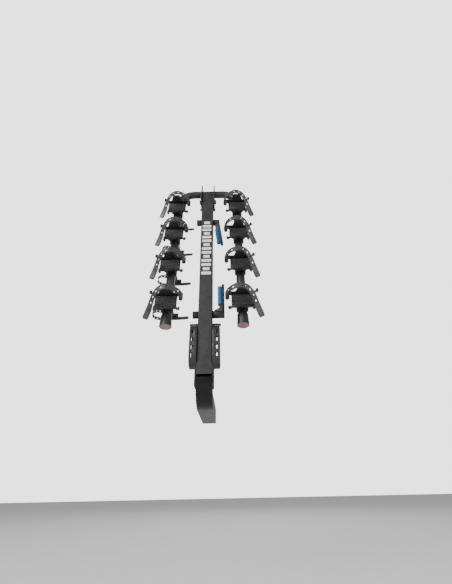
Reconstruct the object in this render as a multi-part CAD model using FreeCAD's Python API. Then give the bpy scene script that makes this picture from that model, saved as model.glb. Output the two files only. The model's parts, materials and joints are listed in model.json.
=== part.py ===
"""Hitch mounted bike rack: receiver shank, tilting mast, folding U-shaped arms, bike cradles.

Millimetres. The origin is the centre of the hitch-pin hole on the shank's axis.
+X is to the right seen from behind the vehicle, +Y towards the vehicle, +Z up.
The arms are modelled folded down beside the mast.
"""
import FreeCAD
import Part
import math
import os

V = FreeCAD.Vector
X, Y, Z = V(1, 0, 0), V(0, 1, 0), V(0, 0, 1)

# ---- Receiver shank and gooseneck
SHANK = 50.8
SHANK_WALL = 4.5
PIN_HOLE_R = 8.2
SHANK_AHEAD = 90.0       # pin hole to the insertion end
SHANK_BEHIND = 150.0     # pin hole to the start of the bend
BEND_R = 58.0            # centreline radius of the gooseneck
PLUG_THICK = 3.0

# ---- Mast
MAST = 50.0
MAST_WALL = 3.0
MAST_LENGTH = 824.0
CAP_THICK = 2.5
PIVOT_UP = 44.0          # tilt pivot above the mast's lower end
PIVOT_DOWN = 20.0        # arm pivot below the mast's upper end
SWING_GAP = 2.0          # gooseneck to the mast's swinging corner

# ---- Tilt hinge cheeks
CHEEK_THICK = 5.0
CHEEK_LENGTH = 150.0
CHEEK_WIDTH = 72.0
CHEEK_OVER_PIVOT = 130.0  # cheek top above the tilt pivot
RIM_WIDTH = 25.0
RIM_THICK = 6.0
RIM_ROUND = 2.6
RIM_SLOT = (8.0, 14.0)
RIM_SLOT_PITCH = 27.0
RIM_SLOTS = 4
TAB_WIDTH = 44.0
TAB_DROP = 80.0          # tab below the tilt pivot

# ---- Bolts
BOLT_R = 6.0
BOLT_FIT = 0.05          # radial clearance of a bolt that turns
HEAD_R = 11.0
HEAD_THICK = 7.0

# ---- Latches
PIN_R = 5.0
SLOT_FIT = 0.3
PIN_REACH = 4.0          # pin past the outermost thing it locks
PIN_GAP = 1.0            # pin at rest clear of its notch's edge
LATCH_TRAVEL = 12.0
LINK_THICK = 3.0
LINK_WIDTH = 26.0
LINK_X = 8.0
LINK_END = 25.0          # link past the lever shaft
SPRING_FREE = 25.0
SPRING_R = 7.0
SPRING_WIRE_R = 1.0
SPRING_TURNS = 5
SEAT_THICK = 3.0

# ---- Levers
SHAFT_R = 6.0
BUSH_R = 9.0
BUSH_FLANGE_R = 12.0
BUSH_FLANGE = 1.5
BARREL_R = 13.5
BARREL_OUT = 68.0        # barrel end, from the mast's axis
UPPER_BARREL_OUT = 52.0
STUB_OUT = 46.0
LEVER_ARM = 125.0
LEVER_BACK = 11.0        # black back of the arm, in X
LEVER_DEPTH = 22.0       # arm in Y
GRIP_WIDE = 14.0
GRIP_FROM, GRIP_TO = 38.0, 117.0
LOWER_LEVER_OVER_PIN = 40.0
UPPER_LEVER_UNDER_PIN = 82.0
UPPER_SPLAY = 7.0        # degrees, upper lever's arm leaning out

# ---- Arms
ARM_R = 15.9
ARM_WALL = 2.0
ARM_SPACING = 258.0
ARM_BEND_R = 65.0
ARM_LENGTH = 700.0       # U centreline to the tube's ends
ARM_PROUD = 4.0          # degrees, lower ends leaning rearward
TUBE_OVER_PIVOT = 50.0
PLATE_THICK = 5.0
PLATE_GAP = 0.6
PLATE_DISC_R = 43.0
PLATE_LUG_R = 23.0
PLATE_SPIKE = 62.0
NOTCH_R = 5.4
END_CAP_R = 20.8
END_CAP_LENGTH = 42.0
END_CAP_FIT = 0.1
REFLECTOR_THICK = 4.0

# ---- Cradles
CRADLES = 4
CRADLE_FIRST = 134.0     # below the U's centreline
CRADLE_PITCH = 165.0
CLAMP_R = 21.0
CLAMP_FIT = 0.1
CLAMP_LENGTH = 34.0
TROUGH_WIDE = 75.0
TROUGH_LONG = 56.0
TROUGH_FLOOR = 33.0      # floor above the arm's axis
WALL = 5.0
UPPER_WALL = 52.0
LOWER_WALL = 44.0
TONGUE_TOP = 80.0
TONGUE_HALF = (29.0, 13.0)
PAD_THICK = 4.0
PAD_GAP = 0.3
STUD_AT = (-51.0, 46.0)
STUD_R = 4.0
STUD_LENGTH = 24.0
EYE_R = 7.5
EYE_FIT = 0.3
STRAP_WIDE = 21.0
STRAP_THICK = 3.2
STRAP_TWIST = 55.0       # degrees the strap's width turns by its tail
TWIST_FROM = 0.3         # share of the strap before it starts to turn
# Strap route from its stud: outward, rearward and along the arm
STRAP_PATH = [(-4, 3, 0), (-3, 16, 0), (5, 33, 1), (23, 48, 4), (47, 54, 5), (68, 47, -1), (82, 34, -14),
              (91, 20, -29), (98, 7, -45), (105, -2, -61), (112, -9, -78)]

# ---- Anti-sway cradles
SWAY_RING = 14.0
SWAY_GAP = 2.0
SWAY_STEM = 96.0
SWAY_STEM_HALF = 8.0
SWAY_PLATE_HALF = 22.0
SWAY_STUD_AT = (15.0, -88.0)
SWAY_STRAP_WIDE = 13.0
SWAY_STRAP_THICK = 2.6
SWAY_STRAP_UP = 3.5      # strap above the ring's lower face
SWAY_EYE_WALL = 2.2
SWAY_PATH = [(2, 4.6), (16, 20), (36, 26), (52, 16), (58, -4), (48, -22), (24, -30), (-6, -30), (-40, -28),
             (-74, -25)]

# ---- Places worked out from the sizes above
MAST_Y = -(SHANK_BEHIND + BEND_R)
HALF_SHANK = SHANK / 2
HALF_MAST = MAST / 2
TILT_Z = BEND_R + math.hypot(HALF_MAST, PIVOT_UP) + SWING_GAP
MAST_LOW = TILT_Z - PIVOT_UP
MAST_TOP = MAST_LOW + MAST_LENGTH
FOLD_Z = MAST_TOP - PIVOT_DOWN
TUBE_Z = FOLD_Z + TUBE_OVER_PIVOT
CHEEK_TOP = TILT_Z + CHEEK_OVER_PIVOT
CHEEK_IN = HALF_SHANK
CHEEK_OUT = CHEEK_IN + RIM_WIDTH
PLATE_IN = HALF_MAST + PLATE_GAP
PLATE_OUT = PLATE_IN + PLATE_THICK
LOWER_PIN_Z = CHEEK_TOP + PIN_R + PIN_GAP
UPPER_PIN_Z = FOLD_Z - PLATE_DISC_R - PIN_R - PIN_GAP
LOWER_LEVER_Z = LOWER_PIN_Z + LOWER_LEVER_OVER_PIN
UPPER_LEVER_Z = UPPER_PIN_Z - UPPER_LEVER_UNDER_PIN
FLOOR_TOP = TROUGH_FLOOR + WALL


def block(x0, x1, y0, y1, z0, z1):
    return Part.makeBox(x1 - x0, y1 - y0, z1 - z0, V(x0, y0, z0))


def rod(radius, start, end):
    return Part.makeCylinder(radius, (end - start).Length, start, end - start)


def rod_x(radius, x0, x1, y, z):
    return rod(radius, V(x0, y, z), V(x1, y, z))


def rounded(shape, radius):
    return shape.makeFillet(radius, shape.Edges)


def prism(points, direction):
    return Part.Face(Part.makePolygon(points + [points[0]])).extrude(direction)


def stadium(x0, x1, half_width, z0, z1):
    """Plate in the YZ plane with rounded ends, centred on the mast."""
    low, high = z0 + half_width, z1 - half_width
    middle = block(x0, x1, MAST_Y - half_width, MAST_Y + half_width, low, high)
    ends = [rod_x(half_width, x0, x1, MAST_Y, z) for z in (low, high)]
    return middle.fuse(ends).removeSplitter()


def both_sides(shape):
    return shape, shape.mirror(V(0, 0, 0), X)


nodes = {}


def add_pair(name, right):
    nodes[name + "_right"], nodes[name + "_left"] = both_sides(right)


# ---- Gooseneck
def bent_bar(half):
    """Square bar along the shank and round the bend to the foot of the mast."""
    y = -SHANK_BEHIND
    corners = [V(-half, y, -half), V(half, y, -half), V(half, y, half), V(-half, y, half)]
    section = Part.Face(Part.makePolygon(corners + [corners[0]]))
    straight = section.extrude(V(0, SHANK_BEHIND + SHANK_AHEAD, 0))
    bend = section.revolve(V(0, y, BEND_R), V(-1, 0, 0), 90)
    return straight.fuse(bend).removeSplitter()


def gooseneck():
    hole = rod_x(PIN_HOLE_R, -SHANK, SHANK, 0, 0)
    return bent_bar(HALF_SHANK).cut([bent_bar(HALF_SHANK - SHANK_WALL), hole])


def end_plug():
    half = HALF_SHANK - SHANK_WALL
    return block(-half, half, SHANK_AHEAD - PLUG_THICK, SHANK_AHEAD, -half, half)


def cheek():
    low = CHEEK_TOP - CHEEK_LENGTH
    half = CHEEK_WIDTH / 2
    plate = stadium(CHEEK_IN, CHEEK_IN + CHEEK_THICK, half, low, CHEEK_TOP)
    rim = stadium(CHEEK_IN, CHEEK_OUT, half, low, CHEEK_TOP).cut(
        stadium(CHEEK_IN, CHEEK_OUT, half - RIM_THICK, low + RIM_THICK, CHEEK_TOP - RIM_THICK))
    outer_edges = [e for e in rim.Edges if e.BoundBox.XMin > CHEEK_OUT - 1]
    rim = rim.makeFillet(min(RIM_ROUND, RIM_THICK / 2 - 0.2), outer_edges)
    tab = block(CHEEK_IN, CHEEK_IN + CHEEK_THICK, MAST_Y - TAB_WIDTH / 2, MAST_Y + TAB_WIDTH / 2,
                TILT_Z - TAB_DROP, low + half)
    shape = plate.fuse([rim, tab]).removeSplitter()
    slot_x = (CHEEK_IN + CHEEK_THICK + CHEEK_OUT) / 2
    middle = (low + CHEEK_TOP) / 2
    for i in range(RIM_SLOTS):
        z = middle + (i - (RIM_SLOTS - 1) / 2) * RIM_SLOT_PITCH
        shape = shape.cut(block(slot_x - RIM_SLOT[0] / 2, slot_x + RIM_SLOT[0] / 2,
                                MAST_Y - CHEEK_WIDTH, MAST_Y + CHEEK_WIDTH,
                                z - RIM_SLOT[1] / 2, z + RIM_SLOT[1] / 2))
    shape = shape.cut(rod_x(PIN_R + SLOT_FIT, 0, 2 * CHEEK_OUT, MAST_Y, CHEEK_TOP))
    return shape.cut(rod_x(BOLT_R, 0, 2 * CHEEK_OUT, MAST_Y, TILT_Z))


def hexagon(x0, x1, y, z):
    corners = [V(x0, y + HEAD_R * math.cos(i * math.pi / 3), z + HEAD_R * math.sin(i * math.pi / 3))
               for i in range(6)]
    return prism(corners, V(x1 - x0, 0, 0))


def bolt(reach, z):
    """Bolt with its head on the right and its thread flush with the nut on the left."""
    shank = rod_x(BOLT_R, -reach - HEAD_THICK, reach, MAST_Y, z)
    return shank.fuse(hexagon(reach, reach + HEAD_THICK, MAST_Y, z)).removeSplitter()


def nut(reach, z):
    ring = hexagon(-reach - HEAD_THICK, -reach, MAST_Y, z)
    return ring.cut(rod_x(BOLT_R, -2 * reach, 0, MAST_Y, z))


nodes["gooseneck"] = gooseneck()
nodes["shank_end_plug"] = end_plug()
add_pair("hinge_cheek", cheek())
nodes["tilt_bolt"] = bolt(CHEEK_IN + CHEEK_THICK, TILT_Z)
nodes["tilt_nut"] = nut(CHEEK_IN + CHEEK_THICK, TILT_Z)


# ---- Mast
def pin_slot(z0, z1):
    """Slot across both side walls for a pin that slides between two heights."""
    radius = PIN_R + SLOT_FIT
    shape = block(-MAST, MAST, MAST_Y - radius, MAST_Y + radius, z0, z1)
    return shape.fuse([rod_x(radius, -MAST, MAST, MAST_Y, z) for z in (z0, z1)])


def mast_tube():
    outer = block(-HALF_MAST, HALF_MAST, MAST_Y - HALF_MAST, MAST_Y + HALF_MAST, MAST_LOW, MAST_TOP)
    outer = outer.makeFillet(MAST_WALL, [e for e in outer.Edges if abs(e.tangentAt(0).z) > 0.9])
    bore = HALF_MAST - MAST_WALL
    tube = outer.cut(block(-bore, bore, MAST_Y - bore, MAST_Y + bore, MAST_LOW, MAST_TOP))
    tools = [rod_x(BOLT_R + BOLT_FIT, -MAST, MAST, MAST_Y, z) for z in (TILT_Z, FOLD_Z)]
    tools += [rod_x(BUSH_R, -MAST, MAST, MAST_Y, z) for z in (LOWER_LEVER_Z, UPPER_LEVER_Z)]
    tools += [pin_slot(LOWER_PIN_Z, LOWER_PIN_Z + LATCH_TRAVEL),
              pin_slot(UPPER_PIN_Z - LATCH_TRAVEL, UPPER_PIN_Z)]
    return tube.cut(tools)


def bushings():
    """Flanged bushings, one in each side wall at each lever."""
    rings = []
    for z in (LOWER_LEVER_Z, UPPER_LEVER_Z):
        inner = HALF_MAST - MAST_WALL
        sleeve = rod_x(BUSH_R, inner, HALF_MAST, MAST_Y, z)
        flange = rod_x(BUSH_FLANGE_R, inner - BUSH_FLANGE, inner, MAST_Y, z)
        ring = sleeve.fuse(flange).cut(rod_x(SHAFT_R + BOLT_FIT, 0, MAST, MAST_Y, z))
        rings += both_sides(ring)
    return Part.makeCompound(rings)


def spring_seats():
    """Plates welded across the tube, one behind each latch spring."""
    half = HALF_MAST - MAST_WALL
    lower = LOWER_LEVER_Z + LINK_END + SPRING_FREE
    upper = UPPER_LEVER_Z - LINK_END - SPRING_FREE - SEAT_THICK
    return [block(-half, half, MAST_Y - half, MAST_Y + half, z, z + SEAT_THICK) for z in (lower, upper)]


nodes["mast_tube"] = mast_tube().fuse(spring_seats())
nodes["mast_top_cap"] = rounded(
    block(-HALF_MAST, HALF_MAST, MAST_Y - HALF_MAST, MAST_Y + HALF_MAST, MAST_TOP, MAST_TOP + CAP_THICK), 1)
nodes["arm_pivot_bolt"] = bolt(PLATE_OUT + SLOT_FIT, FOLD_Z)
nodes["arm_pivot_nut"] = nut(PLATE_OUT + SLOT_FIT, FOLD_Z)
nodes["lever_bushings"] = bushings()


# ---- Latches: cross-pin, link and spring. "way" is +1 where the link runs up to its lever.
def latch_pin(reach, z):
    return rod_x(PIN_R, -reach, reach, MAST_Y, z)


def latch_link(pin_z, lever_z, way):
    far = lever_z + way * LINK_END
    near = pin_z - way * 2 * PIN_R
    z0, z1 = sorted((near, far))
    plate = block(LINK_X, LINK_X + LINK_THICK, MAST_Y - LINK_WIDTH / 2, MAST_Y + LINK_WIDTH / 2, z0, z1)
    slot_r = SHAFT_R + 2 * SLOT_FIT
    a, b = sorted((lever_z, lever_z - way * LATCH_TRAVEL))
    slot = block(0, MAST, MAST_Y - slot_r, MAST_Y + slot_r, a, b)
    slot = slot.fuse([rod_x(slot_r, 0, MAST, MAST_Y, z) for z in (a, b)])
    foot = block(-LINK_X, LINK_X + LINK_THICK, MAST_Y - LINK_WIDTH / 2, MAST_Y + LINK_WIDTH / 2,
                 min(far, far - way * LINK_THICK), max(far, far - way * LINK_THICK))
    return plate.fuse(foot).removeSplitter().cut([slot, rod_x(PIN_R, 0, MAST, MAST_Y, pin_z)])


def latch_spring(z0):
    radius = SPRING_R - SPRING_WIRE_R
    pitch = (SPRING_FREE - 2 * SPRING_WIRE_R - 2 * SLOT_FIT) / SPRING_TURNS
    helix = Part.makeHelix(pitch, pitch * SPRING_TURNS, radius)
    circle = Part.Wire(Part.makeCircle(SPRING_WIRE_R, V(radius, 0, 0), Y))
    coil = Part.Wire(helix.Edges).makePipeShell([circle], True, True)
    coil.translate(V(0, MAST_Y, z0 + SPRING_WIRE_R + SLOT_FIT))
    return coil


nodes["tilt_latch_pin"] = latch_pin(CHEEK_OUT + PIN_REACH, LOWER_PIN_Z)
nodes["tilt_latch_link"] = latch_link(LOWER_PIN_Z, LOWER_LEVER_Z, 1)
nodes["tilt_latch_spring"] = latch_spring(LOWER_LEVER_Z + LINK_END)
nodes["fold_latch_pin"] = latch_pin(PLATE_OUT + PIN_REACH, UPPER_PIN_Z)
nodes["fold_latch_link"] = latch_link(UPPER_PIN_Z, UPPER_LEVER_Z, -1)
nodes["fold_latch_spring"] = latch_spring(UPPER_LEVER_Z - LINK_END - SPRING_FREE)


# ---- Levers, built pointing up and turned over for the upper one
def lever_parts(z, way, splay, arm_out):
    start = HALF_MAST + 2 * SLOT_FIT
    shaft = rod_x(SHAFT_R, -start, start, MAST_Y, z)
    barrel = rod_x(BARREL_R, start, arm_out, MAST_Y, z)
    stub = rod_x(BARREL_R, -STUB_OUT, -start, MAST_Y, z)
    back_in = arm_out - LEVER_BACK
    half = LEVER_DEPTH / 2
    back = rounded(block(back_in, arm_out, MAST_Y - half, MAST_Y + half, z, z + LEVER_ARM), 3)
    web_half = LEVER_DEPTH / 4
    web = prism([V(start + WALL, MAST_Y - web_half, z), V(arm_out - WALL, MAST_Y - web_half, z),
                 V(arm_out - WALL, MAST_Y - web_half, z + GRIP_FROM),
                 V(back_in - WALL, MAST_Y - web_half, z + GRIP_FROM),
                 V(back_in - 2 * WALL, MAST_Y - web_half, z + GRIP_FROM * 0.65),
                 V(start + WALL, MAST_Y - web_half, z + BARREL_R + 2)], V(0, 2 * web_half, 0))
    arm = back.fuse(web)
    grip = rounded(block(back_in - GRIP_WIDE, back_in, MAST_Y - half + 1, MAST_Y + half - 1,
                         z + GRIP_FROM, z + GRIP_TO), 4)
    grip = grip.cut(arm)
    for piece in (arm, grip):
        piece.rotate(V(arm_out, MAST_Y, z), Y, splay)
    body = barrel.fuse([shaft, stub, arm]).removeSplitter()
    if way < 0:
        body.rotate(V(0, MAST_Y, z), X, 180)
        grip.rotate(V(0, MAST_Y, z), X, 180)
    return body, grip


nodes["tilt_lever"], nodes["tilt_lever_grip"] = lever_parts(LOWER_LEVER_Z, 1, 0, BARREL_OUT)
nodes["fold_lever"], nodes["fold_lever_grip"] = lever_parts(UPPER_LEVER_Z, -1, UPPER_SPLAY, UPPER_BARREL_OUT)


# ---- Arms, built hanging straight down and then leant rearward about the U's centreline
def lean(shape):
    shape.rotate(V(0, MAST_Y, TUBE_Z), X, -ARM_PROUD)
    return shape


def u_line():
    half, r = ARM_SPACING / 2, ARM_BEND_R
    end = TUBE_Z - ARM_LENGTH
    c = r * math.sqrt(0.5)

    def at(x, z):
        return V(x, MAST_Y, z)
    edges = [Part.LineSegment(at(-half, end), at(-half, TUBE_Z - r)),
             Part.Arc(at(-half, TUBE_Z - r), at(-half + r - c, TUBE_Z - r + c), at(-half + r, TUBE_Z)),
             Part.LineSegment(at(-half + r, TUBE_Z), at(half - r, TUBE_Z)),
             Part.Arc(at(half - r, TUBE_Z), at(half - r + c, TUBE_Z - r + c), at(half, TUBE_Z - r)),
             Part.LineSegment(at(half, TUBE_Z - r), at(half, end))]
    return Part.Wire([e.toShape() for e in edges])


def swept(radius):
    start = V(-ARM_SPACING / 2, MAST_Y, TUBE_Z - ARM_LENGTH)
    circle = Part.Wire(Part.makeCircle(radius, start, Z))
    return u_line().makePipeShell([circle], True, False)


def arm_plate():
    """Pivot plate: a notched disc on the mast, a lug round the tube and a tapering spike past it."""
    disc = rod_x(PLATE_DISC_R, PLATE_IN, PLATE_OUT, MAST_Y, FOLD_Z)
    lug = rod_x(PLATE_LUG_R, PLATE_IN, PLATE_OUT, MAST_Y, TUBE_Z)
    neck = block(PLATE_IN, PLATE_OUT, MAST_Y - PLATE_LUG_R, MAST_Y + PLATE_LUG_R, FOLD_Z, TUBE_Z)
    spike = prism([V(PLATE_IN, MAST_Y - PLATE_LUG_R, TUBE_Z), V(PLATE_IN, MAST_Y + PLATE_LUG_R, TUBE_Z),
                   V(PLATE_IN, MAST_Y + PLATE_LUG_R / 4, TUBE_Z + PLATE_SPIKE),
                   V(PLATE_IN, MAST_Y - PLATE_LUG_R / 4, TUBE_Z + PLATE_SPIKE)], V(PLATE_THICK, 0, 0))
    shape = disc.fuse([lug, neck, spike]).removeSplitter()
    holes = [rod_x(BOLT_R + BOLT_FIT, 0, MAST, MAST_Y, FOLD_Z),
             rod_x(ARM_R, 0, MAST, MAST_Y, TUBE_Z),
             rod_x(NOTCH_R, 0, MAST, MAST_Y, FOLD_Z - PLATE_DISC_R),
             rod_x(NOTCH_R, 0, MAST, MAST_Y - PLATE_DISC_R, FOLD_Z)]
    return shape.cut(holes)


def end_sleeve():
    x, low = ARM_SPACING / 2, TUBE_Z - ARM_LENGTH - REFLECTOR_THICK
    sleeve = Part.makeCone(END_CAP_R, ARM_R + WALL / 2, END_CAP_LENGTH, V(x, MAST_Y, low), Z)
    bore = rod(ARM_R + END_CAP_FIT, V(x, MAST_Y, low + REFLECTOR_THICK), V(x, MAST_Y, TUBE_Z))
    seat = rod(END_CAP_R - WALL / 2, V(x, MAST_Y, low), V(x, MAST_Y, low + REFLECTOR_THICK))
    return lean(sleeve.cut([bore, seat]))


def reflector():
    x, low = ARM_SPACING / 2, TUBE_Z - ARM_LENGTH - REFLECTOR_THICK
    return lean(rod(END_CAP_R - WALL / 2 - END_CAP_FIT, V(x, MAST_Y, low), V(x, MAST_Y, low + REFLECTOR_THICK)))


nodes["arm_tube"] = lean(swept(ARM_R).cut(swept(ARM_R - ARM_WALL)))
add_pair("arm_plate", arm_plate())
add_pair("end_sleeve", end_sleeve())
add_pair("reflector", reflector())


# ---- Cradles. u runs outward across the arm, v rearward from its axis, z along it.
def at_arm(u, v, z):
    return V(ARM_SPACING / 2 + u, MAST_Y - v, z)


def cell(u0, u1, v0, v1, z0, z1):
    return block(ARM_SPACING / 2 + u0, ARM_SPACING / 2 + u1, MAST_Y - v1, MAST_Y - v0, z0, z1)


def profile(points, z0, z1):
    return prism([at_arm(u, v, z0) for u, v in points], V(0, 0, z1 - z0))


def cradle_height(i):
    return TUBE_Z - CRADLE_FIRST - i * CRADLE_PITCH


def cradle_body(zc):
    half_u, half_z = TROUGH_WIDE / 2, TROUGH_LONG / 2
    top, bottom = zc + half_z, zc - half_z
    ring = rod(CLAMP_R, at_arm(0, 0, zc - CLAMP_LENGTH / 2), at_arm(0, 0, zc + CLAMP_LENGTH / 2))
    web = profile([(-16, 8), (16, 8), (34, TROUGH_FLOOR + 1), (-34, TROUGH_FLOOR + 1)],
                  zc - CLAMP_LENGTH / 2, zc + CLAMP_LENGTH / 2)
    floor = cell(-half_u, half_u, TROUGH_FLOOR, FLOOR_TOP, bottom, top)
    lower = cell(-half_u, half_u, TROUGH_FLOOR, LOWER_WALL, bottom, bottom + WALL)
    upper = cell(-half_u, half_u, TROUGH_FLOOR, UPPER_WALL, top - WALL, top)
    tongue = profile([(-TONGUE_HALF[0], FLOOR_TOP), (TONGUE_HALF[0], FLOOR_TOP),
                      (TONGUE_HALF[1], TONGUE_TOP), (-TONGUE_HALF[1], TONGUE_TOP)], top - WALL, top)
    su, sv = STUD_AT
    ear = profile([(-half_u, TROUGH_FLOOR), (-half_u, UPPER_WALL), (su, sv + EYE_R), (su - EYE_R, sv),
                   (su, sv - EYE_R)], top - WALL, top)
    stud = rod(STUD_R, at_arm(su, sv, top - STUD_LENGTH - WALL), at_arm(su, sv, top))
    inner_hook = profile([(-half_u + 1, TROUGH_FLOOR), (-half_u + 1, FLOOR_TOP), (-half_u - 9, FLOOR_TOP + 3),
                          (-half_u - 12, FLOOR_TOP - 1), (-half_u - 8, TROUGH_FLOOR - 3)],
                         bottom - 3, bottom + WALL)
    outer_hook = profile([(half_u - 1, FLOOR_TOP), (half_u - 1, UPPER_WALL), (half_u + 12, UPPER_WALL + 6),
                          (half_u + 12, UPPER_WALL)], top - WALL, top)
    knob = rod(5, at_arm(half_u + 12, UPPER_WALL + 3, top - WALL), at_arm(half_u + 12, UPPER_WALL + 3, top + 5))
    catch = profile([(half_u - 6, TROUGH_FLOOR), (half_u - 1, FLOOR_TOP), (half_u + 5, TROUGH_FLOOR - 2),
                     (half_u + 3, TROUGH_FLOOR - 12), (half_u - 4, TROUGH_FLOOR - 8)],
                    bottom, bottom + 16)
    shape = ring.fuse([web, floor, lower, upper, tongue, ear, stud, inner_hook, outer_hook, knob, catch])
    bore = rod(ARM_R + CLAMP_FIT, at_arm(0, 0, bottom - 20), at_arm(0, 0, top + 20))
    return shape.removeSplitter().cut(bore)


def saddle_pad(zc):
    half_u, half_z = TROUGH_WIDE / 2 - 2, TROUGH_LONG / 2 - WALL - PAD_GAP
    return cell(-half_u, half_u, FLOOR_TOP, FLOOR_TOP + PAD_THICK, zc - half_z, zc + half_z)


def ribbon(points, width, thick, end_twist=0.0):
    """Flat strap through points (u, v, z). Its width starts along z and turns outward by end_twist degrees."""
    wires = []
    last = len(points) - 1
    for i, point in enumerate(points):
        before, after = V(*points[max(i - 1, 0)]), V(*points[min(i + 1, last)])
        run = (after - before).normalize()
        twist = math.radians(end_twist) * max(0.0, (i / last - TWIST_FROM) / (1 - TWIST_FROM))
        across = V(math.sin(twist), 0, math.cos(twist))
        across = (across - run * across.dot(run)).normalize()
        normal = across.cross(run)
        corners = []
        for s, t in ((1, 1), (1, -1), (-1, -1), (-1, 1)):
            p = V(*point) + normal * (s * thick / 2) + across * (t * width / 2)
            corners.append(at_arm(p.x, p.y, p.z))
        wires.append(Part.makePolygon(corners + [corners[0]]))
    return Part.makeLoft(wires, True, True)


def flat_strip(points, thick, z0, z1):
    """Strip that bends only across the arm, as a prism along it through points (u, v)."""
    sides = [], []
    for i, point in enumerate(points):
        before, after = points[max(i - 1, 0)], points[min(i + 1, len(points) - 1)]
        du, dv = after[0] - before[0], after[1] - before[1]
        length = math.hypot(du, dv)
        for side, way in zip(sides, (1, -1)):
            side.append((point[0] - way * dv / length * thick / 2, point[1] + way * du / length * thick / 2))
    return profile(sides[0] + sides[1][::-1], z0, z1)


def frame_strap(zc):
    """Strap from its eye on the inner stud, arching over the tongue and down past the outer lower corner."""
    su, sv = STUD_AT
    eye_z = zc + TROUGH_LONG / 2 - WALL - 0.5 - STRAP_WIDE / 2
    path = [(su + u, sv + v, eye_z + z) for u, v, z in STRAP_PATH]
    eye = rod(EYE_R, at_arm(su, sv, eye_z - STRAP_WIDE / 2), at_arm(su, sv, eye_z + STRAP_WIDE / 2))
    shape = eye.fuse(ribbon(path, STRAP_WIDE, STRAP_THICK, STRAP_TWIST))
    return shape.cut(rod(STUD_R + EYE_FIT, at_arm(su, sv, zc - 60), at_arm(su, sv, zc + 60)))


# ---- Anti-sway cradles: a ring on the arm, a stem forward of it and a looped strap
def sway_middle(zc):
    return zc + CLAMP_LENGTH / 2 + SWAY_GAP + SWAY_RING / 2


def sway_body(zc):
    z0, z1 = sway_middle(zc) - SWAY_RING / 2, sway_middle(zc) + SWAY_RING / 2
    ring = rod(CLAMP_R, at_arm(0, 0, z0), at_arm(0, 0, z1))
    stem = cell(-SWAY_STEM_HALF, SWAY_STEM_HALF, -SWAY_STEM, 0, z0, z1)
    plate = cell(-SWAY_PLATE_HALF, SWAY_STEM_HALF, -SWAY_STEM - WALL, -SWAY_STEM, z0 - 6, z1 + 6)
    su, sv = SWAY_STUD_AT
    arm = cell(0, su + STUD_R, sv - STUD_R, sv + STUD_R, z0, z0 + 3)
    stud = rod(STUD_R, at_arm(su, sv, z0), at_arm(su, sv, z1 + 4))
    shape = ring.fuse([stem, plate, arm, stud]).removeSplitter()
    return shape.cut(rod(ARM_R + EYE_FIT, at_arm(0, 0, z0 - 5), at_arm(0, 0, z1 + 5)))


def sway_strap(zc):
    su, sv = SWAY_STUD_AT
    z0 = sway_middle(zc) - SWAY_RING / 2 + SWAY_STRAP_UP
    z1 = z0 + SWAY_STRAP_WIDE
    strip = flat_strip([(su + u, sv + v) for u, v in SWAY_PATH], SWAY_STRAP_THICK, z0, z1)
    eye = rod(STUD_R + SWAY_EYE_WALL, at_arm(su, sv, z0), at_arm(su, sv, z1))
    return eye.fuse(strip).cut(rod(STUD_R + EYE_FIT, at_arm(su, sv, z0 - 1), at_arm(su, sv, z1 + 1)))


for i in range(CRADLES):
    zc = cradle_height(i)
    add_pair(f"cradle_{i + 1}", lean(cradle_body(zc)))
    add_pair(f"saddle_pad_{i + 1}", lean(saddle_pad(zc)))
    add_pair(f"frame_strap_{i + 1}", lean(frame_strap(zc)))
    nodes[f"sway_cradle_{i + 1}"] = both_sides(lean(sway_body(zc)))[1]
    nodes[f"sway_strap_{i + 1}"] = both_sides(lean(sway_strap(zc)))[1]

os.makedirs("parts", exist_ok=True)
for name, shape in nodes.items():
    shape.exportStep(f"parts/{name}.step")
print(len(nodes), "nodes")
print("tilt axis z", round(TILT_Z, 3), "fold axis z", round(FOLD_Z, 3), "tube z", round(TUBE_Z, 3))
print("lever z", round(LOWER_LEVER_Z, 3), round(UPPER_LEVER_Z, 3), "mast y", MAST_Y)
for name, shape in nodes.items():
    if not shape.isValid() or shape.Volume < 1:
        print("check this shape:", name, shape.isValid(), shape.Volume)
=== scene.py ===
"""Looks for the hitch mounted bike rack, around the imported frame. Metres, +Z up, +Y to the vehicle."""
import json
import math

import bmesh
import bpy
from mathutils import Matrix, Vector


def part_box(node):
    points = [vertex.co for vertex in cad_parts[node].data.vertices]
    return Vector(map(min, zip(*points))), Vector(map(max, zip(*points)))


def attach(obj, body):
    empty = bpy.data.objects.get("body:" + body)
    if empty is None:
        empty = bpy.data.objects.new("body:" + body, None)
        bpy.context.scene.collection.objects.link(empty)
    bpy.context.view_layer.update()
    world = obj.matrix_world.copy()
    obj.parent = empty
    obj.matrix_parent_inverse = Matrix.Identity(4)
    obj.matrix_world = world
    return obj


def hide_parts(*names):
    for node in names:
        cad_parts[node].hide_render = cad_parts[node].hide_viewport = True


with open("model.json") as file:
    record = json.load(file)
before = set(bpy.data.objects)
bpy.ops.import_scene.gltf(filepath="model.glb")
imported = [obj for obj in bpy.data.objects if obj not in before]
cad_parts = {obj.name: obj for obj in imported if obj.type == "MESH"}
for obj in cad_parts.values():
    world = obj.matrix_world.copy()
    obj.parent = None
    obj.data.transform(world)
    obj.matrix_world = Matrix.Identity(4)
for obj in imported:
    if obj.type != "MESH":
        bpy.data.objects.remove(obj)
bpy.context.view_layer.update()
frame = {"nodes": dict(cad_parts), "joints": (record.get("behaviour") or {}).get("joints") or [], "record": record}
MM = 0.001


# ---- Materials
COAT_ROUGHNESS = 0.12
MOTTLE_SCALE, ROUGHNESS_SCALE = 28, 60
RAMP_LOW, RAMP_HIGH = 0.35, 0.68
LEAST_ROUGHNESS = 0.03
BUMP_DISTANCE = 0.0006


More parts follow.
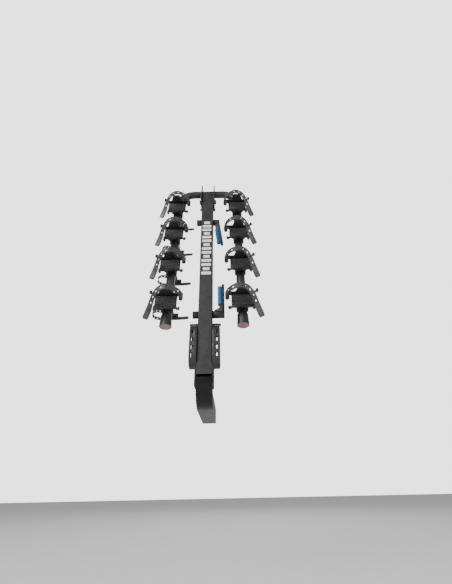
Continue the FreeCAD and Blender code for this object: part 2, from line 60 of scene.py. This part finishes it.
def material(name, color, rough, metallic=0.0, coat=0.0, grain=900.0, grain_depth=0.15, mottle=0.25,
             rough_spread=0.10, sheen=0.0, specular=0.5):
    """Base colour varied by a soft mottle, roughness by a second one, and a fine moulded or sprayed grain."""
    m = bpy.data.materials.new(name)
    m.use_nodes = True
    tree = m.node_tree
    shader = tree.nodes["Principled BSDF"]
    shader.inputs["Metallic"].default_value = metallic
    shader.inputs["Coat Weight"].default_value = coat
    shader.inputs["Coat Roughness"].default_value = COAT_ROUGHNESS
    shader.inputs["Sheen Weight"].default_value = sheen
    shader.inputs["Specular IOR Level"].default_value = specular
    place = tree.nodes.new("ShaderNodeTexCoord")

    def noise(scale, detail):
        n = tree.nodes.new("ShaderNodeTexNoise")
        n.inputs["Scale"].default_value = scale
        n.inputs["Detail"].default_value = detail
        tree.links.new(place.outputs["Object"], n.inputs["Vector"])
        return n.outputs["Fac"]

    def ramp(source, low, high):
        r = tree.nodes.new("ShaderNodeValToRGB")
        r.color_ramp.elements[0].position = RAMP_LOW
        r.color_ramp.elements[1].position = RAMP_HIGH
        r.color_ramp.elements[0].color = (*low, 1)
        r.color_ramp.elements[1].color = (*high, 1)
        tree.links.new(source, r.inputs["Fac"])
        return r.outputs["Color"]

    dark = [c * (1 - mottle) for c in color]
    light = [min(1, c * (1 + mottle)) for c in color]
    tree.links.new(ramp(noise(MOTTLE_SCALE, 5), dark, light), shader.inputs["Base Color"])
    spread = [max(LEAST_ROUGHNESS, rough - rough_spread)] * 3, [min(1, rough + rough_spread)] * 3
    tree.links.new(ramp(noise(ROUGHNESS_SCALE, 3), *spread), shader.inputs["Roughness"])
    bump = tree.nodes.new("ShaderNodeBump")
    bump.inputs["Strength"].default_value = grain_depth
    bump.inputs["Distance"].default_value = BUMP_DISTANCE
    tree.links.new(noise(grain, 2), bump.inputs["Height"])
    tree.links.new(bump.outputs["Normal"], shader.inputs["Normal"])
    return m


looks = {
    "satin_black_steel": material("powder_coat", (0.020, 0.020, 0.0195), 0.44, grain=1400, grain_depth=0.25),
    "gloss_black_steel": material("gloss_paint", (0.004, 0.004, 0.004), 0.34, grain=300,
                                  grain_depth=0.04, rough_spread=0.05, specular=0.3),
    "black_plastic": material("moulded_plastic", (0.018, 0.018, 0.0175), 0.40, grain=1100, grain_depth=0.3),
    "rubber": material("strap_rubber", (0.027, 0.0265, 0.026), 0.46, grain=1500, grain_depth=0.35,
                       sheen=0.15),
    "lever_grip": material("blue_grip", (0.004, 0.13, 0.33), 0.36, grain=700, grain_depth=0.12, mottle=0.12),
    "reflector": material("dusty_lens", (0.30, 0.115, 0.125), 0.34, coat=0.4, grain=420, grain_depth=0.5,
                          mottle=0.3),
    "zinc_steel": material("black_zinc", (0.09, 0.09, 0.092), 0.34, metallic=0.8, grain=500, grain_depth=0.1),
    "decal": material("white_decal", (0.86, 0.86, 0.85), 0.5, grain=900, grain_depth=0.08, mottle=0.03),
    "floor": material("pale_floor", (0.86, 0.86, 0.85), 0.8, grain=40, grain_depth=0.02, mottle=0.02),
}
node_slot = {s["node"]: s["material_slot"] for s in frame["record"]["subparts"]}
node_body = {n: b for b, ns in frame["record"]["behaviour"]["bodies"].items() for n in ns}
for node, obj in frame["nodes"].items():
    obj.data.materials.clear()
    obj.data.materials.append(looks[node_slot[node]])


# ---- Mesh helpers
SAME_POINT = 0.00001


def new_object(name, bm, slot, body):
    """Object made from bm, which is freed, in the slot's material and riding on the body."""
    mesh = bpy.data.meshes.new(name)
    bm.to_mesh(mesh)
    bm.free()
    obj = bpy.data.objects.new(name, mesh)
    bpy.context.scene.collection.objects.link(obj)
    mesh.materials.append(looks[slot])
    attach(obj, body)
    return obj


def apply_modifiers(obj):
    graph = bpy.context.evaluated_depsgraph_get()
    mesh = bpy.data.meshes.new_from_object(obj.evaluated_get(graph))
    obj.modifiers.clear()
    obj.data = mesh


def smooth_by_angle(obj, degrees=40):
    for p in obj.data.polygons:
        p.use_smooth = True
    obj.data.set_sharp_from_angle(angle=math.radians(degrees))


def softened(node, width):
    """A piece with the CAD node's own shape and rounded edges, as moulded plastic or painted steel has."""
    bm = bmesh.new()
    bm.from_mesh(frame["nodes"][node].data)
    bmesh.ops.remove_doubles(bm, verts=bm.verts, dist=SAME_POINT)
    bmesh.ops.dissolve_limit(bm, angle_limit=math.radians(1.0), verts=bm.verts, edges=bm.edges)
    obj = new_object(node + "_finished", bm, node_slot[node], node_body[node])
    bevel = obj.modifiers.new("edges", "BEVEL")
    bevel.width = width
    bevel.segments = 2
    bevel.limit_method = "ANGLE"
    bevel.angle_limit = math.radians(40)
    bevel.use_clamp_overlap = True
    apply_modifiers(obj)
    smooth_by_angle(obj)
    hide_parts(node)


# ---- The arms' own space: u outward, v rearward, and the height z, all leant back with the arms
joints = {j["name"]: j for j in frame["joints"]}
fold = Vector(joints["arm_fold"]["pos_m"])
TUBE_OVER_PIVOT = 0.050
MAST_Y = fold.y
TUBE_Z = fold.z + TUBE_OVER_PIVOT
PROUD = math.radians(4)
HALF_SPACING = 0.129
LEAN = Matrix.Translation((0, MAST_Y, TUBE_Z)) @ Matrix.Rotation(-PROUD, 4, "X") @ Matrix.Translation(
    (0, -MAST_Y, -TUBE_Z))
CRADLES, CRADLE_FIRST, CRADLE_PITCH = 4, 0.134, 0.165
TWIST_FROM = 0.3        # share of a strap's length before its width starts to turn
TAIL_FLARE, TAIL_TIP = 1.06, 0.8
CELL_WELD = 0.0004
EYE_EDGE = 0.0008


def at_arm(side, u, v, z):
    return LEAN @ Vector((side * (HALF_SPACING + u), MAST_Y - v, z))


def curve_points(points, steps=8):
    """Smooth line through the points, by a Catmull-Rom spline."""
    pts = [Vector(p) for p in points]
    pts = [2 * pts[0] - pts[1]] + pts + [2 * pts[-1] - pts[-2]]
    line = []
    for a, b, c, d in zip(pts, pts[1:], pts[2:], pts[3:]):
        for k in range(steps):
            t = k / steps
            line.append(0.5 * ((2 * b) + (c - a) * t + (2 * a - 5 * b + 4 * c - d) * t * t
                               + (3 * b - a - 3 * c + d) * t ** 3))
    return line + [pts[-2]]


def strap(name, body, side, points, width, thick, hole_r, tail, pitch=1.0, end_twist=0.0):
    """Perforated strap along a path of (u, v, z): round-holed cells, then a plain rounded tail.

    Its width starts along z and turns outward by end_twist degrees."""
    line = curve_points(points)
    along = [0.0]
    for a, b in zip(line, line[1:]):
        along.append(along[-1] + (b - a).length)
    total = along[-1]

    def place(s, t):
        s = min(max(s, 0), total)
        i = max(k for k in range(len(along) - 1) if along[k] <= s or k == 0)
        f = (s - along[i]) / max(along[i + 1] - along[i], 1e-9)
        p = line[i].lerp(line[i + 1], f)
        run = (line[min(i + 2, len(line) - 1)] - line[max(i - 1, 0)]).normalized()
        twist = math.radians(end_twist) * max(0.0, (s / total - TWIST_FROM) / (1 - TWIST_FROM))
        across = Vector((math.sin(twist), 0, math.cos(twist)))
        p = p + (across - run * across.dot(run)).normalized() * t
        return at_arm(side, p.x, p.y, p.z)

    bm = bmesh.new()
    cells = max(2, round((total - tail) / (width * pitch)))
    length = (total - tail) / cells
    ring_count = 16
    for c in range(cells):
        middle = (c + 0.5) * length
        rings = []
        for scale in (0.0, 0.5, 1.0):
            ring = []
            for k in range(ring_count):
                a = 2 * math.pi * (k + 0.5) / ring_count
                ca, sa = math.cos(a), math.sin(a)
                edge = 1 / max(abs(ca), abs(sa))
                hole = Vector((hole_r * ca, hole_r * sa))
                rim = Vector((ca * edge * length / 2, sa * edge * width / 2))
                p = hole.lerp(rim, scale)
                ring.append(bm.verts.new(place(middle + p.x, p.y)))
            rings.append(ring)
        for inner, outer in zip(rings, rings[1:]):
            for k in range(ring_count):
                n = (k + 1) % ring_count
                bm.faces.new((inner[k], outer[k], outer[n], inner[n]))
        corners = [(sx * length / 2, sy * width / 2) for sx, sy in ((1, 1), (-1, 1), (-1, -1), (1, -1))]
        quarter = ring_count // 4
        for q, (cx, cy) in enumerate(corners):
            k = q * quarter + quarter // 2 - 1
            corner = bm.verts.new(place(middle + cx, cy))
            bm.faces.new((rings[-1][k], corner, rings[-1][k + 1]))
    rows = 6
    previous = None
    for r in range(rows + 1):
        s = total - tail + tail * r / rows
        half = width / 2 * (TAIL_FLARE if r < rows else TAIL_TIP)
        row = [bm.verts.new(place(s, half * (k / 3 - 1))) for k in range(7)]
        if previous:
            for k in range(6):
                bm.faces.new((previous[k], row[k], row[k + 1], previous[k + 1]))
        previous = row
    bmesh.ops.remove_doubles(bm, verts=bm.verts, dist=CELL_WELD)
    bmesh.ops.recalc_face_normals(bm, faces=bm.faces)
    obj = new_object(name, bm, "rubber", body)
    solid = obj.modifiers.new("thickness", "SOLIDIFY")
    solid.thickness = thick
    solid.offset = 0
    bevel = obj.modifiers.new("edges", "BEVEL")
    bevel.width = thick * 0.2
    bevel.segments = 2
    bevel.limit_method = "ANGLE"
    bevel.angle_limit = math.radians(50)
    apply_modifiers(obj)
    smooth_by_angle(obj, 50)
    return obj


def eye(bm, side, u, v, z, radius, bore, length):
    """Moulded eye that turns on a stud lying along the arm."""
    count = 28
    loops = []
    for r, h in ((bore, 0.5), (radius - EYE_EDGE, 0.5), (radius, 0.44), (radius, -0.44),
                 (radius - EYE_EDGE, -0.5), (bore, -0.5)):
        loops.append([bm.verts.new(at_arm(side, u + r * math.cos(2 * math.pi * k / count),
                                          v + r * math.sin(2 * math.pi * k / count), z + h * length))
                      for k in range(count)])
    for a, b in zip(loops, loops[1:] + loops[:1]):
        for k in range(count):
            n = (k + 1) % count
            bm.faces.new((a[k], a[n], b[n], b[k]))


def eye_piece(name, body, side, u, v, z, radius, bore, length):
    bm = bmesh.new()
    eye(bm, side, u, v, z, radius, bore, length)
    bmesh.ops.recalc_face_normals(bm, faces=bm.faces)
    smooth_by_angle(new_object(name, bm, "rubber", body), 35)


def ribbed_pad(name, side, zc, node, body):
    """Rubber saddle pad: a thin base with rounded ribs across the arm."""
    half_u, half_z = 0.0352, 0.0224
    base, deck, crest = 0.0381, 0.0400, 0.0432
    ribs, per_rib = 6, 8
    outline = [(-half_z, base)]
    for k in range(ribs * per_rib + 1):
        t = k / per_rib
        lift = max(0.0, math.sin(math.pi * ((t % 1.0) * 1.25 - 0.125))) ** 0.6
        outline.append((-half_z + 2 * half_z * k / (ribs * per_rib), deck + (crest - deck) * lift))
    outline.append((half_z, base))
    bm = bmesh.new()
    end_round, end_sink = 0.002, 0.0012
    stations = [-half_u, -half_u + end_round, half_u - end_round, half_u]
    loops = []
    for i, u in enumerate(stations):
        sink = end_sink if i in (0, 3) else 0
        loops.append([bm.verts.new(at_arm(side, u, v - (sink if v > base else 0), zc + z))
                      for z, v in outline])
    for a, b in zip(loops, loops[1:]):
        for k in range(len(outline)):
            n = (k + 1) % len(outline)
            bm.faces.new((a[k], a[n], b[n], b[k]))
    bm.faces.new(loops[0])
    bm.faces.new(list(reversed(loops[-1])))
    bmesh.ops.recalc_face_normals(bm, faces=bm.faces)
    obj = new_object(name, bm, "rubber", body)
    smooth_by_angle(obj, 50)
    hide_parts(node)


# ---- Strap routes, as in the CAD
STUD_U, STUD_V, EYE_R, EYE_BORE = -0.051, 0.046, 0.0075, 0.0043
STRAP_WIDE, STRAP_THICK, STRAP_TWIST = 0.021, 0.0032, 55.0
STRAP_HOLE_R, STRAP_TAIL, CELL_PITCH, STRAP_CLEAR = 0.0034, 0.046, 0.95, 0.0005
STRAP_PATH = [(-4, 3, 0), (-3, 16, 0), (5, 33, 1), (23, 48, 4), (47, 54, 5), (68, 47, -1), (82, 34, -14),
              (91, 20, -29), (98, 7, -45), (105, -2, -61), (112, -9, -78)]
TROUGH_HALF, WALL = 0.028, 0.005


def frame_strap(index, side, label):
    zc = TUBE_Z - CRADLE_FIRST - index * CRADLE_PITCH
    z = zc + TROUGH_HALF - WALL - STRAP_CLEAR - STRAP_WIDE / 2
    points = [(STUD_U + u * MM, STUD_V + v * MM, z + h * MM) for u, v, h in STRAP_PATH]
    node = f"frame_strap_{index + 1}_{label}"
    piece = strap(node + "_rubber", node, side, points, STRAP_WIDE, STRAP_THICK, STRAP_HOLE_R,
                  STRAP_TAIL, CELL_PITCH, STRAP_TWIST)
    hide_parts(node)
    eye_piece(node + "_eye", node, side, STUD_U, STUD_V, z, EYE_R, EYE_BORE, STRAP_WIDE)


SWAY_U, SWAY_V, SWAY_WIDE, SWAY_THICK, SWAY_UP = 0.015, -0.088, 0.013, 0.0026, 0.026
SWAY_RING_HALF, SWAY_STRAP_UP = 0.007, 0.0035
SWAY_HOLE_R, SWAY_TAIL, SWAY_EYE_R = 0.0022, 0.050, 0.0062
SWAY_PATH = [(2, 4.6), (16, 20), (36, 26), (52, 16), (58, -4), (48, -22), (24, -30), (-6, -30), (-40, -28),
             (-74, -25)]


def sway_strap(index):
    zc = TUBE_Z - CRADLE_FIRST - index * CRADLE_PITCH
    z = zc + SWAY_UP - SWAY_RING_HALF + SWAY_STRAP_UP + SWAY_WIDE / 2
    points = [(SWAY_U + u * MM, SWAY_V + v * MM, z) for u, v in SWAY_PATH]
    node = f"sway_strap_{index + 1}"
    piece = strap(node + "_rubber", node, -1, points, SWAY_WIDE, SWAY_THICK, SWAY_HOLE_R, SWAY_TAIL,
                  CELL_PITCH)
    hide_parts(node)
    eye_piece(node + "_eye", node, -1, SWAY_U, SWAY_V, z, SWAY_EYE_R, EYE_BORE, SWAY_WIDE)


CRADLE_EDGE, SWAY_EDGE = 0.0011, 0.001
for i in range(CRADLES):
    height = TUBE_Z - CRADLE_FIRST - i * CRADLE_PITCH
    for side, label in ((1, "right"), (-1, "left")):
        softened(f"cradle_{i + 1}_{label}", CRADLE_EDGE)
        pad = f"saddle_pad_{i + 1}_{label}"
        ribbed_pad(pad + "_rubber", side, height, pad, "arms")
        frame_strap(i, side, label)
    softened(f"sway_cradle_{i + 1}", SWAY_EDGE)
    sway_strap(i)


# ---- Decal: plain bars up the mast's rear face
def decal():
    """Generic broken bars with rounded ends, printed on the mast's rear face."""
    low, high, thick = 0.446, 0.722, 0.0002
    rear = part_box("mast_tube")[0].y
    bm = bmesh.new()
    bars, gap = 14, 0.0072
    wide, narrow, corner = 0.0185, 0.0125, 0.003
    length = (high - low - gap * (bars - 1)) / bars
    for k in range(bars):
        z0 = low + k * (length + gap)
        half_wide = narrow if k % 3 == 1 else wide
        outline = []
        for cx, cz, start in ((half_wide - corner, z0 + length - corner, 0),
                              (-half_wide + corner, z0 + length - corner, 90),
                              (-half_wide + corner, z0 + corner, 180),
                              (half_wide - corner, z0 + corner, 270)):
            for a in range(0, 91, 15):
                t = math.radians(start + a)
                outline.append((cx + corner * math.cos(t), cz + corner * math.sin(t)))
        front = [bm.verts.new((x, rear - thick, z)) for x, z in outline]
        back = [bm.verts.new((x, rear, z)) for x, z in outline]
        bm.faces.new(front)
        bm.faces.new(list(reversed(back)))
        for n in range(len(outline)):
            m = (n + 1) % len(outline)
            bm.faces.new((front[n], front[m], back[m], back[n]))
    bmesh.ops.recalc_face_normals(bm, faces=bm.faces)
    new_object("mast_decal", bm, "decal", "mast")


decal()
FINISHED_EDGES = (
    (0.0012, ("tilt_lever", "fold_lever")),
    (0.0010, ("tilt_lever_grip", "fold_lever_grip", "hinge_cheek_right", "hinge_cheek_left")),
    (0.0012, ("arm_plate_right", "arm_plate_left")),
    (0.0008, ("tilt_bolt", "tilt_nut", "arm_pivot_bolt", "arm_pivot_nut")),
)
for width, nodes in FINISHED_EDGES:
    for node in nodes:
        softened(node, width)


# ---- Rolled edge round each hinge cheek's rim
def rolled_edge(label, side):
    """Round bead along the outer edge of the cheek's stadium-shaped rim."""
    low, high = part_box(f"hinge_cheek_{label}")
    rim_half = (high.y - low.y) / 2
    bead, count, steps = 0.0036, 12, 24
    top, length = high.z, 0.150
    reach = rim_half - bead
    centre_x = side * (max(abs(low.x), abs(high.x)) - bead)
    line = []
    for centre, start in ((top - rim_half, 0), (top - length + rim_half, 180)):
        for k in range(steps + 1):
            a = math.radians(start + 180 * k / steps)
            line.append((Vector((centre_x, MAST_Y + reach * math.cos(a), centre + reach * math.sin(a))),
                         Vector((0, math.cos(a), math.sin(a)))))
    bm = bmesh.new()
    loops = [[bm.verts.new(p + out * bead * math.cos(2 * math.pi * k / count)
                           + Vector((bead * math.sin(2 * math.pi * k / count), 0, 0)))
              for k in range(count)] for p, out in line]
    for a, b in zip(loops, loops[1:] + loops[:1]):
        for k in range(count):
            n = (k + 1) % count
            bm.faces.new((a[k], a[n], b[n], b[k]))
    bmesh.ops.recalc_face_normals(bm, faces=bm.faces)
    obj = new_object(f"rolled_edge_{label}", bm, "satin_black_steel", "base")
    smooth_by_angle(obj, 60)


rolled_edge("right", 1)
rolled_edge("left", -1)


# ---- Floor, light and camera
def floor(z, half):
    bm = bmesh.new()
    bmesh.ops.create_grid(bm, x_segments=2, y_segments=2, size=half)
    bmesh.ops.translate(bm, verts=bm.verts, vec=(0, 0, z))
    mesh = bpy.data.meshes.new("floor")
    bm.to_mesh(mesh)
    bm.free()
    obj = bpy.data.objects.new("floor", mesh)
    mesh.materials.append(looks["floor"])
    bpy.context.scene.collection.objects.link(obj)


def area_light(name, place, target, size, power):
    data = bpy.data.lights.new(name, "AREA")
    data.size = size
    data.energy = power
    obj = bpy.data.objects.new(name, data)
    obj.location = place
    obj.rotation_euler = (Vector(target) - Vector(place)).to_track_quat("-Z", "Y").to_euler()
    bpy.context.scene.collection.objects.link(obj)


def studio_world():
    """White light all round, with a brighter white where the camera sees past the floor."""
    world = bpy.data.worlds.new("studio")
    world.use_nodes = True
    tree = world.node_tree
    background = tree.nodes["Background"]
    background.inputs["Color"].default_value = (1, 1, 1, 1)
    background.inputs["Strength"].default_value = WORLD_LIGHT
    white = tree.nodes.new("ShaderNodeBackground")
    white.inputs["Strength"].default_value = WORLD_SEEN
    path = tree.nodes.new("ShaderNodeLightPath")
    mix = tree.nodes.new("ShaderNodeMixShader")
    tree.links.new(path.outputs["Is Camera Ray"], mix.inputs["Fac"])
    tree.links.new(background.outputs["Background"], mix.inputs[1])
    tree.links.new(white.outputs["Background"], mix.inputs[2])
    tree.links.new(mix.outputs["Shader"], tree.nodes["World Output"].inputs["Surface"])
    bpy.context.scene.world = world


def photo_camera():
    """Camera low behind the rack and close to it, looking up and forward."""
    camera = bpy.data.cameras.new("camera")
    camera.lens = CAMERA_LENS
    camera.sensor_width = 36
    camera.clip_start = 0.02
    obj = bpy.data.objects.new("camera", camera)
    bpy.context.scene.collection.objects.link(obj)
    pitch = Matrix.Rotation(math.radians(90 + CAMERA_PITCH), 4, "X")
    roll = Matrix.Rotation(math.radians(CAMERA_ROLL), 4, "Z")
    obj.matrix_world = Matrix.Translation(CAMERA_AT) @ pitch @ roll
    bpy.context.scene.camera = obj


FLOOR_Z, FLOOR_HALF = -0.48, 8
LIT_POINT = (0, -0.2, 0.5)
WORLD_LIGHT, WORLD_SEEN = 0.42, 3.4
CAMERA_AT = (0.074, -1.166, -0.229)
CAMERA_PITCH, CAMERA_ROLL, CAMERA_LENS = 32.5, -1.2, 18.8
floor(FLOOR_Z, FLOOR_HALF)
area_light("key", (-1.6, -2.4, 1.6), LIT_POINT, 1.6, 75)
area_light("fill", (2.2, -2.0, 0.6), LIT_POINT, 2.0, 45)
area_light("back", (0.4, 2.4, 2.4), LIT_POINT, 2.0, 40)
studio_world()
photo_camera()
